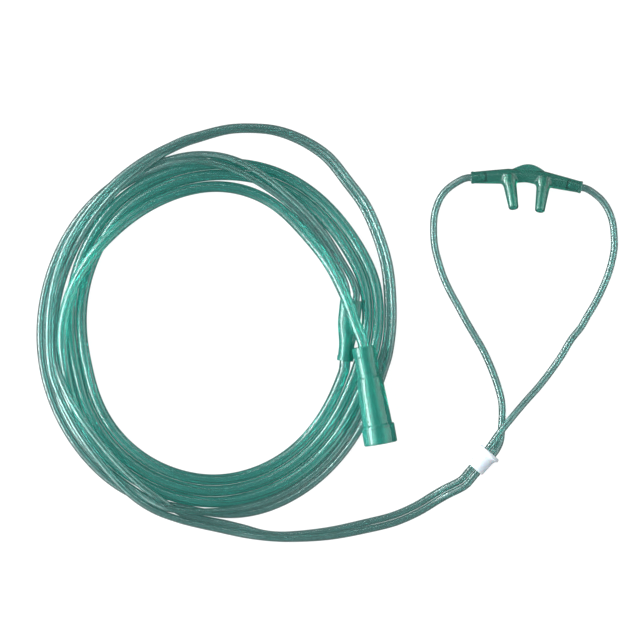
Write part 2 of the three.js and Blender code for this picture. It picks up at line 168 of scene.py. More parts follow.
# Tube routes
def spaced(points, step):
    # the same route with its points an even step apart
    points = np.asarray(points, float)
    lengths = np.linalg.norm(np.diff(points, axis=0), axis=1)
    along = np.concatenate([[0], np.cumsum(lengths)])
    count = int(round(along[-1] / step)) + 1
    at = np.linspace(0, along[-1], count)
    return np.stack([np.interp(at, along, points[:, k]) for k in range(points.shape[1])], axis=1)


def smoothRoute(points, step=1.0):
    # a centripetal Catmull-Rom curve through the points; extra columns follow along
    p = np.asarray(points, float)
    p = np.vstack([2 * p[0] - p[1], p, 2 * p[-1] - p[-2]])
    curve = []
    for i in range(1, len(p) - 2):
        p0, p1, p2, p3 = p[i - 1], p[i], p[i + 1], p[i + 2]
        t1 = max(np.linalg.norm((p1 - p0)[:3]) ** 0.5, 1e-3)
        t2 = t1 + max(np.linalg.norm((p2 - p1)[:3]) ** 0.5, 1e-3)
        t3 = t2 + max(np.linalg.norm((p3 - p2)[:3]) ** 0.5, 1e-3)
        count = max(2, int(np.linalg.norm((p2 - p1)[:3]) / step))
        t = np.linspace(t1, t2, count, endpoint=False)[:, None]
        a1 = (t1 - t) / t1 * p0 + t / t1 * p1
        a2 = (t2 - t) / (t2 - t1) * p1 + (t - t1) / (t2 - t1) * p2
        a3 = (t3 - t) / (t3 - t2) * p2 + (t - t2) / (t3 - t2) * p3
        b1 = (t2 - t) / t2 * a1 + t / t2 * a2
        b2 = (t3 - t) / (t3 - t1) * a2 + (t - t1) / (t3 - t1) * a3
        curve.append((t2 - t) / (t2 - t1) * b1 + (t - t1) / (t2 - t1) * b2)
    curve.append(p[-2][None])
    return np.vstack(curve)


def onCoil(keys):
    # keys of turn, offset from the coil's mean line, and the rest, to x, y and the rest
    rows = []
    for turn, offset, *rest in keys:
        angle = -2 * math.pi * turn
        middle = Vector((coil["acrossX"] * math.cos(angle), coil["acrossY"] * math.sin(angle)))
        out = Vector((math.cos(angle) / coil["acrossX"], math.sin(angle) / coil["acrossY"])).normalized()
        place = middle + out * offset
        rows.append([coil["x"] + place.x, coil["y"] + place.y, *rest])
    return rows


def everyTurn(keys, parts=40, samples=4000, blur=0.07, endBlend=0.05):
    # more keys in between, so that the route keeps to the coil's round, with soft changes but for the ends
    keys = np.array(keys, float)
    turns = np.arange(math.ceil(keys[0, 0] * parts) / parts, keys[-1, 0], 1 / parts)
    turns = np.unique(np.round(np.concatenate([[keys[0, 0]], turns, [keys[-1, 0]]]), 4))
    fine = np.linspace(keys[0, 0], keys[-1, 0], samples)
    span = int(blur / (fine[1] - fine[0])) | 1
    inside = np.clip(np.minimum(fine - fine[0], fine[-1] - fine) / endBlend, 0, 1)
    columns = [turns]
    for k in range(1, keys.shape[1]):
        flat = np.interp(fine, keys[:, 0], keys[:, k])
        padded = np.pad(flat, span // 2, mode="edge")
        soft = np.convolve(padded, np.ones(span) / span, mode="valid")
        columns.append(np.interp(turns, fine, flat + (soft - flat) * inside))
    return np.stack(columns, axis=1)


def pairSide(route, side):
    # one tube of the pair, from centre points x, y, z and roll; side 1 is on the left of the way it runs
    route = np.asarray(route, float)
    way = np.gradient(route[:, :2], axis=0)
    way /= np.maximum(np.linalg.norm(way, axis=1, keepdims=True), 1e-9)
    left = np.stack([-way[:, 1], way[:, 0]], axis=1)
    roll = np.radians(route[:, 3])
    across = side * pairPitch * np.cos(roll)
    lift = pairPitch * (np.abs(np.sin(roll)) + side * np.sin(roll))
    return np.column_stack([route[:, :2] + left * across[:, None], route[:, 2] + lift])


onFloor = 1.65  # height of a thin tube's centre where it lies on the floor
over = 5.25  # and where the right thin tube crosses over the left one

leftRoute = [
    (-16.67, 4.865, 2.88), (-19.861, 4.748, 2.88), (-23.352, 4.62, 2.88), (-25.351, 4.546, 2.88),
    (-31.1, 1.5, 1.9), (-34.9, -2.0, onFloor), (-37.6, -7.2, onFloor), (-38.8, -13.1, onFloor),
    (-38.5, -23.6, onFloor), (-37.0, -30.0, onFloor), (-34.9, -36.5, onFloor), (-32.0, -42.9, onFloor),
    (-28.8, -48.7, onFloor), (-25.3, -55.2, onFloor), (-21.2, -62.2, onFloor), (-18.3, -67.2, onFloor),
    (-14.6, -75.4, onFloor), (-12.2, -82.1, onFloor), (-10.5, -88.8, onFloor), (-10.3, -94.3, onFloor),
    (-10.6, -99.4, onFloor), (-11.0, -105.0, 2.4),
]
rightRoute = [
    (16.352, 1.982, 2.88), (19.468, 1.28, 2.88), (22.876, 0.512, 2.88), (24.827, 0.073, 2.88),
    (30.8, -4.3, 1.9), (34.0, -9.0, onFloor), (35.8, -14.3, onFloor), (36.4, -20.1, onFloor),
    (36.4, -24.8, onFloor), (35.5, -30.0, onFloor), (33.8, -35.9, onFloor), (31.4, -41.7, onFloor),
    (28.5, -47.6, onFloor), (25.0, -53.4, onFloor), (22.7, -57.5, onFloor), (18.5, -62.8, onFloor),
    (14.1, -70.1, onFloor), (6.2, -80.9, onFloor), (-1.8, -90.0, 3.0), (-8.5, -98.0, over),
    (-12.9, -103.6, over), (-14.9, -106.6, over),
]


def throughSlider():
    angle = math.radians(slider["angle"])
    distances = np.linspace(slider["straightFrom"], slider["straightTo"], 6)
    x, y, z = slider["centre"]
    return [(x + d * math.cos(angle), y + d * math.sin(angle), z, 0) for d in distances]


# The pair from the slider to the coil: x, y, z and roll
ribbonRoute = [
    *throughSlider(),
    (-33.3, -126.0, 3.6, 0), (-38.5, -129.0, 2.2, 0), (-44.6, -132.8, onFloor, 0), (-54.7, -137.4, onFloor, 0),
    (-67.2, -140.6, onFloor, 15), (-83.7, -143.8, onFloor, 40), (-102.5, -145.0, onFloor, 65),
    (-111.0, -144.2, onFloor, 60), (-118.0, -142.7, onFloor, 35), (-125.0, -141.1, onFloor, 25),
]
# Its first pass on the coil: turns clockwise from +X, offset outwards from the coil's mean line, z and roll
firstPass = [
    (0.285, 8.4, 3.4, 12), (0.31, 5.6, 5.6, 6), (0.35, 2.4, 6.4, 0), (0.38, 1.2, 6.4, 0), (0.42, 1.2, 6.4, 0),
    (0.46, 2.0, 6.4, 0), (0.5, 3.2, 6.4, 4), (0.54, 4.2, 6.4, 8), (0.59, 5.0, 6.4, 14), (0.63, 6.0, 6.2, 22),
    (0.66, 6.9, 5.0, 34), (0.6865, 9.1, 3.2, 48), (0.7, 10.2, 2.2, 55), (0.7125, 11.2, onFloor, 60),
]
# Its wide turn outside the coil
loopRoute = [
    (-142.5, 19.8, onFloor, 60), (-137.1, 21.5, onFloor, 62), (-124.2, 24.8, onFloor, 70),
    (-111.7, 25.1, onFloor, 70), (-104.6, 24.2, onFloor, 66), (-96.7, 21.6, onFloor, 60), (-88.7, 17.4, onFloor, 55),
    (-82.3, 12.4, onFloor, 50), (-75.0, 3.2, onFloor, 48), (-67.7, -6.8, onFloor, 46), (-62.1, -19.3, onFloor, 48),
    (-58.5, -31.6, onFloor, 46), (-57.1, -44.3, onFloor, 42), (-57.1, -58.4, onFloor, 42),
]
# Its second pass, which ends in the Y connector
secondPass = [
    (1.019, 9.8, 1.65, 38), (1.0385, 8.0, 1.65, 20), (1.06, 6.9, 1.65, 0), (1.09, 6.4, 1.65, -40),
    (1.13, 6.4, 1.55, -70), (1.2, 6.4, 1.55, -78), (1.3, 6.3, 1.55, -78), (1.4, 6.6, 1.55, -76),
    (1.5, 7.2, 1.55, -70), (1.58, 6.9, 1.55, -74), (1.65, 6.7, 1.7, -70), (1.71, 6.4, 3.0, -50),
    (1.75, 4.6, 5.6, -20), (1.785, 1.8, 6.6, 0), (1.82, -1.0, 6.6, 0), (1.855, -3.0, 6.4, 0),
    (1.89, -3.7, 5.6, 0), (1.925, -3.8, 4.6, 0),
]
# The main tube's turns, from the Y connector: turns, offset and z
mainPass = [
    (0.06, -6.6, 2.3), (0.12, -6.2, 2.3), (0.25, -6.3, 2.3), (0.4, -6.6, 2.3), (0.5, -6.8, 2.3), (0.58, -5.6, 2.3),
    (0.66, -2.6, 2.3), (0.75, -1.5, 2.3), (0.8, -0.9, 2.3), (0.86, -0.3, 2.3), (0.925, 1.0, 2.3),
    (0.965, 2.7, 2.3), (1.0, 1.9, 2.3), (1.0385, -1.4, 2.3), (1.09, -1.7, 2.3), (1.25, -1.8, 2.3),
    (1.4, -1.9, 2.3), (1.5, -2.0, 2.3), (1.58, -0.9, 2.3), (1.66, 1.9, 2.3), (1.75, 3.4, 2.3), (1.8, 4.1, 2.3),
    (1.86, 4.5, 2.3), (1.925, 5.7, 2.3), (1.965, 7.3, 2.3), (2.0, 6.9, 2.3),
    (2.0385, 4.2, 2.3), (2.09, 3.0, 2.3), (2.25, 2.8, 2.3), (2.33, 2.6, 2.8), (2.4, 1.6, 5.0), (2.48, -0.6, 6.9),
    (2.56, -2.8, 6.9), (2.64, -4.6, 5.0), (2.7, -5.5, 2.8), (2.77, -5.7, 2.6), (2.81, -6.2, 3.6), (2.84, -6.8, 5.4),
]
mainEnd = [(-82.7, -29.7, 7.9), (-77.9, -39.3, 8.3), (-74.2, -48.4, 9.3), (-71.0, -57.6, 10.2)]


def along(piece, first, last, distances):
    # points on a connector's axis, from its first end
    start, end = Vector(piece[first]), Vector(piece[last])
    way = (end - start).normalized()
    return [tuple(start + way * d) for d in distances]


def yPoint(side, distance):
    # a point on the axis of a thin tube in the Y connector, so far in front of its thin end
    start, end = Vector(yConnector["bottom"]), Vector(yConnector["top"])
    way = (end - start).normalized()
    outwards = Vector((way.y, -way.x, 0))
    return tuple(end + way * distance + outwards * side * yConnector["thinPitch"] / 2)


def thinRoute(start, side):
    pair = np.vstack([
        np.array(ribbonRoute),
        np.array(onCoil(everyTurn(firstPass))),
        np.array(loopRoute),
        np.array(onCoil(everyTurn(secondPass))),
    ])
    tail = [yPoint(side, d) for d in (6.5, 3.5, 0.0, -3.5, 0.3 - yConnector["thinSocket"])]
    return smoothRoute(np.vstack([start, pairSide(smoothRoute(pair, 4.0), side), tail]))


def mainRoute():
    first = along(yConnector, "bottom", "top", (yConnector["mainSocket"] - 0.3, 6, 0, -4))
    last = along(supplyConnector, "top", "mouth", (-1.5, 1, 6, supplyConnector["socketDepth"] - 0.3))
    return smoothRoute(np.vstack([first, onCoil(everyTurn(mainPass)), mainEnd, last]))


laying = {
    "rounds": 240,
    "sinkRounds": 200,  # how many of them pull the tubes down and together
    "sink": 0.07,
    "squeeze": 0.012,
    "squeezeReach": 9.5,  # from the coil's mean line
    "reach": 6.2,  # within which two points are compared
    "ownReach": 7,  # rings along one tube that are never compared
    "besides": 1.3,  # how far along each other two points may be and still touch
    "tubeGap": 0.03,
    "blockGap": 0.1,
    "floorGap": 0.02,
    "push": 0.3,  # of what is short, in one round
    "blockPush": 0.5,
    "crowd": 0.35,
    "even": 0.4,
    "hold": 0.995,  # of the shift from the route, in one round
    "stiffness": 6,
    "lastStiffness": 2,
    "lastRounds": 20,
    "lastEvening": 12,
    # millimetres of each tube that stay on the route
    "thinStart": 230,
    "thinEnd": 12,
    "mainStart": 18,
    "mainEnd": 34,
    "wideLoop": 1.145,  # as does what lies outside this share of the coil
}


def settle(routes, radii, held, blocks):
    # lets the tubes sink onto the floor and onto each other, and pushes them apart where they meet
    sizes = [len(r) for r in routes]
    place = np.vstack(routes)
    guide = place.copy()
    radius = np.concatenate([np.full(n, r) for n, r in zip(sizes, radii)])
    owner = np.concatenate([np.full(n, k) for k, n in enumerate(sizes)])
    fixed = np.concatenate(held)
    ends = np.cumsum([0, *sizes])
    for turn in range(laying["rounds"]):
        if turn % 10 == 0:
            tree = KDTree(len(place))
            for i, p in enumerate(place):
                tree.insert(p, i)
            tree.balance()
            near = []
            for i, p in enumerate(place):
                for _, j, _ in tree.find_range(p, laying["reach"]):
                    if j > i and (owner[i] != owner[j] or j - i > laying["ownReach"]):
                        near.append((i, j))
            near = np.array(near)
        way = np.vstack([np.gradient(place[a:b], axis=0) for a, b in zip(ends, ends[1:])])
        way /= np.linalg.norm(way, axis=1, keepdims=True)
        if turn < laying["sinkRounds"]:
            place[~fixed, 2] -= laying["sink"]
            out = (place[:, :2] - coilMiddle) / coilAcross
            size = np.linalg.norm(out, axis=1)
            offset = (size - 1) * coilAcross.mean()
            squeeze = -laying["squeeze"] * offset / laying["squeezeReach"]
            squeeze = np.where(np.abs(offset) < laying["squeezeReach"], squeeze, 0) * ~fixed
            place[:, :2] += out / size[:, None] * squeeze[:, None]
        i, j = near.T
        for one, two in ((i, j), (j, i)):
            gap = place[one] - place[two]
            run = (gap * way[two]).sum(1)
            gap = gap - run[:, None] * way[two]
            far = np.linalg.norm(gap, axis=1)
            short = radius[one] + radius[two] + laying["tubeGap"] - far
            hit = (short > 0) & (np.abs(run) < laying["besides"])
            if hit.any():
                push = gap[hit] / np.maximum(far[hit], 1e-6)[:, None] * (laying["push"] * short[hit])[:, None]
                moved = np.zeros_like(place)
                count = np.ones(len(place))
                np.add.at(moved, one[hit], push)
                np.add.at(moved, two[hit], -push)
                np.add.at(count, one[hit], laying["crowd"])
                np.add.at(count, two[hit], laying["crowd"])
                moved /= count[:, None]
                place[~fixed] += moved[~fixed]
        for start, end, startRadius, endRadius in blocks:
            axis = end - start
            share = np.clip((place - start) @ axis / (axis @ axis), 0, 1)
            gap = place - start - share[:, None] * axis
            far = np.linalg.norm(gap, axis=1)
            short = radius + startRadius + (endRadius - startRadius) * share + laying["blockGap"] - far
            hit = (short > 0) & ~fixed
            place[hit] += gap[hit] / far[hit, None] * (laying["blockPush"] * short[hit])[:, None]
        place[:, 2] = np.where(fixed, place[:, 2], np.maximum(place[:, 2], radius + laying["floorGap"]))
        shift = place - guide
        last = turn >= laying["rounds"] - laying["lastRounds"]
        stiffness = laying["lastStiffness" if last else "stiffness"]
        for a, b in zip(ends, ends[1:]):
            part = shift[a:b]
            for _ in range(stiffness):
                part[1:-1] += laying["even"] * ((part[:-2] + part[2:]) / 2 - part[1:-1])
        shift[fixed] = 0
        shift[:, :2] *= laying["hold"]
        place = guide + shift
    for _ in range(laying["lastEvening"]):
        for a, b in zip(ends, ends[1:]):
            part = place[a:b]
            soft = (part[:-2] + part[2:]) / 2 - part[1:-1]
            part[1:-1] += laying["even"] * soft * ~fixed[a + 1:b - 1, None]
    return [place[a:b] for a, b in zip(ends, ends[1:])]


def laidTubes():
    step = tubes["ringStep"]
    left = spaced(thinRoute(leftRoute, 1), step)
    right = spaced(thinRoute(rightRoute, -1), step)
    main = spaced(mainRoute(), step)
    held = []
    for route in (left, right):
        run = np.arange(len(route)) * step
        size = np.linalg.norm((route[:, :2] - coilMiddle) / coilAcross, axis=1)
        wide = (size > laying["wideLoop"]) & (run > laying["thinStart"])
        held.append((run < laying["thinStart"]) | wide | (run > (len(route) - 1) * step - laying["thinEnd"]))
    run = np.arange(len(main)) * step
    held.append((run < laying["mainStart"]) | (run > (len(main) - 1) * step - laying["mainEnd"]))
    yBottom, yTop = np.array(yConnector["bottom"]), np.array(yConnector["top"])
    yMiddle = yBottom + (yTop - yBottom) * 0.55
    supplyTop, supplyMouth = np.array(supplyConnector["top"]), np.array(supplyConnector["mouth"])
    # the connectors as start, end and the radius at each
    blocks = [
        (yBottom, yMiddle, 3.45, 3.2), (yMiddle, yTop, 3.2, 3.6), (supplyTop, supplyMouth, 4.9, 6.6),
    ]
    radii = (tubes["thinDiameter"] / 2, tubes["thinDiameter"] / 2, tubes["mainDiameter"] / 2)
    return settle([left, right, main], radii, held, blocks)


def rings(route):
    # the frame at each ring, carried along without twisting
    ways = [Vector(w).normalized() for w in np.gradient(route, axis=0)]
    side = Vector((0, 0, 1)).cross(ways[0]).normalized()
    frames = []
    for way in ways:
        side = (side - way * side.dot(way)).normalized()
        frames.append((side, way.cross(side)))
    return frames


def tubeMesh(name, route, outer, bore, sides, ribs=0, ribHeight=0.0, twist=0.0):
    # a hollow tube with its own UV map: round it, and along it in metres
    route = np.asarray(route) * mm
    frames = rings(route)
    length = np.concatenate([[0], np.cumsum(np.linalg.norm(np.diff(route, axis=0), axis=1))])
    vertices = []
    for place, (side, up), run in zip(route, frames, length):
        turn = 2 * math.pi * run / twist if twist else 0
        for shell in (0, 1):
            for k in range(sides):
                angle = 2 * math.pi * k / sides + turn
                radius = outer / 2
                if shell:
                    radius = bore / 2 + ribHeight / 2 * math.cos(ribs * 2 * math.pi * k / sides)
                radius *= mm
                vertices.append(Vector(place) + side * (radius * math.cos(angle)) + up * (radius * math.sin(angle)))
    faces, corners = [], []
    ringSize = 2 * sides

    def add(quad, uv):
        faces.append(quad)
        corners.extend(uv)

    for i in range(len(route) - 1):
        a, b = length[i], length[i + 1]
        for k in range(sides):
            n = (k + 1) % sides
            low, high = i * ringSize, (i + 1) * ringSize
            u, v = k / sides, (k + 1) / sides
            add((low + k, low + n, high + n, high + k), [(u, a), (v, a), (v, b), (u, b)])
            low, high = low + sides, high + sides
            add((low + k, high + k, high + n, low + n), [(u, a), (u, b), (v, b), (v, a)])
    last = (len(route) - 1) * ringSize
    for k in range(sides):
        n = (k + 1) % sides
        u, v = k / sides, (k + 1) / sides
        add((k, sides + k, sides + n, n), [(u, 0), (u, 0), (v, 0), (v, 0)])
        add((last + k, last + n, last + sides + n, last + sides + k), [(u, length[-1])] * 4)
    mesh = bpy.data.meshes.new(name)
    mesh.from_pydata([tuple(v) for v in vertices], [], faces)
    layer = mesh.uv_layers.new(name="alongTube")
    layer.data.foreach_set("uv", np.array(corners, np.float32).ravel())
    mesh.polygons.foreach_set("use_smooth", [True] * len(mesh.polygons))
    for face in list(mesh.polygons)[-2 * sides:]:
        face.use_smooth = False
    mesh.update()
    piece = bpy.data.objects.new(name, mesh)
    scene.collection.objects.link(piece)
    return piece


def routeLength(route):
    return float(np.linalg.norm(np.diff(route, axis=0), axis=1).sum())


laidLeft, laidRight, laidMain = laidTubes()
leftTube = tubeMesh("leftThinTube", laidLeft, tubes["thinDiameter"], tubes["thinBore"], 20)
rightTube = tubeMesh("rightThinTube", laidRight, tubes["thinDiameter"], tubes["thinBore"], 20)
mainTube = tubeMesh(
    "mainTube", laidMain, tubes["mainDiameter"], tubes["mainBore"], 30,
    tubes["mainRibs"], tubes["mainRibHeight"], tubes["mainTwist"],
)
for piece, route in ((leftTube, laidLeft), (rightTube, laidRight), (mainTube, laidMain)):
    print(f"{piece.name} is {routeLength(route) * mm:.3f} m long")


# Rigid pieces
def pieceOf(name, bm, sharpAngle=38.0):
    # a finished piece from a bmesh in millimetres that already stands in place
    bmesh.ops.scale(bm, vec=(mm, mm, mm), verts=bm.verts)
    for face in bm.faces:
        face.smooth = True
    for edge in bm.edges:
        if len(edge.link_faces) == 2:
            edge.smooth = edge.calc_face_angle(0) < math.radians(sharpAngle)
    mesh = bpy.data.meshes.new(name)
    bm.to_mesh(mesh)
    bm.free()
    piece = bpy.data.objects.new(name, mesh)
    scene.collection.objects.link(piece)
    return piece


def spunBody(profile, sides=64):
    # a body of revolution about Z from a closed loop of radius and height pairs
    bm = bmesh.new()
    loop = [bm.verts.new((r, 0, h)) for r, h in profile]
    edges = [bm.edges.new((a, b)) for a, b in zip(loop, loop[1:])]
    if profile[0][0] > 0 or profile[-1][0] > 0:
        edges.append(bm.edges.new((loop[-1], loop[0])))
    bmesh.ops.spin(
        bm, geom=[*loop, *edges], cent=(0, 0, 0), axis=(0, 0, 1), angle=2 * math.pi, steps=sides, use_merge=True,
    )
    bmesh.ops.remove_doubles(bm, verts=bm.verts, dist=0.001)
    bmesh.ops.recalc_face_normals(bm, faces=bm.faces)
    return bm


def raised(outline, height):
    # a body from a flat outline, raised along Z
    bm = bmesh.new()
    face = bm.faces.new([bm.verts.new(point) for point in outline])
    top = bmesh.ops.extrude_face_region(bm, geom=[face])["geom"]
    bmesh.ops.translate(bm, vec=(0, 0, height), verts=[v for v in top if isinstance(v, bmesh.types.BMVert)])
    bmesh.ops.recalc_face_normals(bm, faces=bm.faces)
    return bm


def standing(place, way, across):
    # the matrix that puts a body's origin at the place, its Z along way and its X across
    return Matrix.Translation(place) @ Matrix((across, way.cross(across), way)).transposed().to_4x4()


def laidAlong(bm, start, end):
    # turns a body from Z onto the line from start to end
    turn = Vector((0, 0, 1)).rotation_difference(Vector(end) - Vector(start))
    bmesh.ops.transform(bm, matrix=Matrix.Translation(start) @ turn.to_matrix().to_4x4(), verts=bm.verts)


def scratch(bm):
    # an object for modifiers to work on
    mesh = bpy.data.meshes.new("scratch")
    bm.to_mesh(mesh)
    bm.free()
    item = bpy.data.objects.new("scratch", mesh)
    scene.collection.objects.link(item)
    return item


def finished(item, *others):
    # what the item's modifiers make, as a bmesh; the scratch objects go
    bpy.context.view_layer.update()
    made = bmesh.new()
    evaluated = item.evaluated_get(bpy.context.evaluated_depsgraph_get())
    made.from_mesh(evaluated.to_mesh())
    evaluated.to_mesh_clear()
    for used in (item, *others):
        mesh = used.data
        bpy.data.objects.remove(used)
        bpy.data.meshes.remove(mesh)
    return made


def cutBy(bm, cutters, operation="DIFFERENCE"):
    # the body with the other bodies cut away, or joined on
    body = scratch(bm)
    others = [scratch(c) for c in cutters]
    for other in others:
        modifier = body.modifiers.new("cut", "BOOLEAN")
        modifier.operation = operation
        modifier.solver = "EXACT"
        modifier.object = other
    return finished(body, *others)


def rod(radius, low, high, sides=32):
    return spunBody([(0, low), (radius, low), (radius, high), (0, high)], sides)


def makeSupplyConnector():
    s = supplyConnector
    length = (Vector(s["top"]) - Vector(s["mouth"])).length
    flange, bell, shoulder = s["flangeDiameter"] / 2, s["bellDiameter"] / 2, s["shoulderDiameter"] / 2
    neck, collar = s["neckDiameter"] / 2, s["collarDiameter"] / 2
    shoulderAt, collarAt = length - s["shoulderDepth"], length - s["collarLength"]
    socketEnd = length - s["socketDepth"]
    socket, throat = s["socketBore"] / 2, s["throat"] / 2
    bore, mouth = s["bellBore"] / 2, s["mouthBore"] / 2
    flangeTop, recess, bellTop = s["flangeLength"], s["mouthDepth"], s["bellDepth"]
    # radius and height from the mouth, where the small numbers round the edges
    profile = [
        (flange - 0.4, 0), (flange - 0.1, 0.15), (flange, 0.5), (flange, flangeTop - 0.5),
        (flange - 0.15, flangeTop - 0.15), (flange - 0.5, flangeTop), (bell + 0.25, flangeTop),
        (bell, flangeTop + 0.3), (bell - 0.1, flangeTop + 4), (shoulder + 0.15, shoulderAt - 5),
        (shoulder, shoulderAt - 0.3), (shoulder - 0.2, shoulderAt), (neck + 0.15, shoulderAt + 0.7),
        (neck, shoulderAt + 1.0), (neck, collarAt - 0.1), (collar - 0.1, collarAt), (collar, collarAt + 0.2),
        (collar, length - 0.4), (collar - 0.12, length - 0.12), (collar - 0.4, length),
        (socket + 0.3, length), (socket, length - 0.3), (socket, socketEnd), (throat, socketEnd),
        (throat, socketEnd - s["throatLength"]), (bore - 0.3, bellTop), (bore, bellTop - 1), (bore, recess + 0.2),
        (bore + 0.2, recess), (mouth - 0.3, recess), (mouth, 0.2), (mouth + 0.15, 0),
    ]
    bm = spunBody(profile)
    laidAlong(bm, s["mouth"], s["top"])
    return pieceOf("supplyConnector", bm)


def makeYConnector():
    y = yConnector
    start, end = Vector(y["bottom"]), Vector(y["top"])
    length = (end - start).length
    rim, stem, half = y["rimDiameter"] / 2, y["stemDiameter"] / 2, y["topThickness"] / 2
    blendStart = length - y["topLength"] - y["blendLength"]
    blendEnd = length - y["topLength"]
    profile = [(0, 0), (rim - 0.35, 0), (rim - 0.1, 0.1), (rim, 0.35), (rim, y["rimLength"] - 0.2),
               (rim - 0.1, y["rimLength"]), (stem + 0.1, y["rimLength"] + 0.1), (stem, y["rimLength"] + 0.4)]
    for i in range(9):
        share = i / 8
        ease = share * share * (3 - 2 * share)
        profile.append((stem + (half - stem) * ease, blendStart + (blendEnd - blendStart) * share))
    profile += [(half, length - 2.5), (half, length - 0.4), (half - 0.12, length - 0.1), (half - 0.4, length),
                (0, length)]
    bm = spunBody(profile, 72)
    widest = y["topWidth"] / y["topThickness"]
    for vertex in bm.verts:
        share = min(max((vertex.co.z - blendStart) / (blendEnd - blendStart), 0), 1)
        share = share * share * (3 - 2 * share)
        vertex.co.x *= 1 + (widest - 1) * share
    mainBore = rod(y["mainBore"] / 2, -1, y["mainSocket"])
    bores = []
    for side in (-1, 1):
        bore = rod(y["thinBore"] / 2, length - y["thinSocket"], length + 1)
        bmesh.ops.translate(bore, vec=(side * y["thinPitch"] / 2, 0, 0), verts=bore.verts)
        bores.append(bore)
    passage = rod(y["passage"] / 2, y["mainSocket"] - 0.5, length - y["thinSocket"] + 0.5)
    bmesh.ops.scale(passage, vec=(y["passageWidth"] / y["passage"], 1, 1), verts=passage.verts)
    bm = cutBy(bm, [mainBore, *bores, passage])
    bmesh.ops.remove_doubles(bm, verts=bm.verts, dist=0.0005)
    # stands along the connector's axis with its wide side level
    way = (end - start).normalized()
    across = Vector((way.y, -way.x, 0)).normalized()
    bmesh.ops.transform(bm, matrix=standing(start, way, across), verts=bm.verts)
    return pieceOf("yConnector", bm)


def makeSlider():
    s = slider
    half, flange = s["length"] / 2, s["flangeDiameter"] / 2
    low, top = s["lowerDiameter"] / 2, s["diameter"] / 2
    flangeAt = half - s["flangeLength"]
    profile = [
        (0, -half), (low - 0.5, -half), (low - 0.15, -half + 0.12), (low, -half + 0.5), (low + 0.02, -half + 2.5),
        (top - 0.05, flangeAt - 1.6), (top + 0.15, flangeAt - 0.5), (top + 0.5, flangeAt - 0.1),
        (flange - 0.5, flangeAt + 0.05), (flange - 0.12, flangeAt + 0.3), (flange, flangeAt + 0.75),
        (flange - 0.12, half - 0.3), (flange - 0.5, half), (0, half),
    ]
    bm = spunBody(profile, 72)
    outline = []
    for k in range(48):
        angle = 2 * math.pi * k / 48
        x, y = s["bore"] / 2 * math.cos(angle), s["bore"] / 2 * math.sin(angle)
        outline.append(((pairPitch if math.cos(angle) > 0 else -pairPitch) + x, y, -half - 1))
    bore = raised(outline, 2 * half + 2)
    bm = cutBy(bm, [bore])
    bmesh.ops.remove_doubles(bm, verts=bm.verts, dist=0.0005)
    angle = math.radians(s["angle"])
    way = Vector((math.cos(angle), math.sin(angle), 0))
    across = Vector((-way.y, way.x, 0))
    bmesh.ops.transform(bm, matrix=standing(s["centre"], way, across), verts=bm.verts)
    return pieceOf("tubeSlider", bm)


def barPoint(distance, left, height):
    # a point of the nasal piece's bar: how far along it from the left end, off to its left, and up
    n = nasalPiece
    leftWay = Vector((-math.cos(math.radians(n["leftTilt"])), -math.sin(math.radians(n["leftTilt"])), 0))
    rightWay = Vector((math.cos(math.radians(n["rightTilt"])), -math.sin(math.radians(n["rightTilt"])), 0))
    run = n["bendRun"]
    signed = distance - n["leftLength"]
    if signed < -run:
        place, way = leftWay * -signed, -leftWay
    elif signed > run:
        place, way = rightWay * signed, rightWay
    else:
        t = (signed + run) / (2 * run)
        start, end = leftWay * run, rightWay * run
        place = start * (1 - t) ** 2 + end * t ** 2
        way = (end * t - start * (1 - t)).normalized()
    side = Vector((-way.y, way.x, 0))
    return place + side * left + Vector((0, 0, height))


def ontoBar(bm, thicknessShare):
    # bends a body that stands along Z from 0 onto the bar
    for vertex in bm.verts:
        x, y, z = vertex.co
        vertex.co = barPoint(z, y, x * thicknessShare)


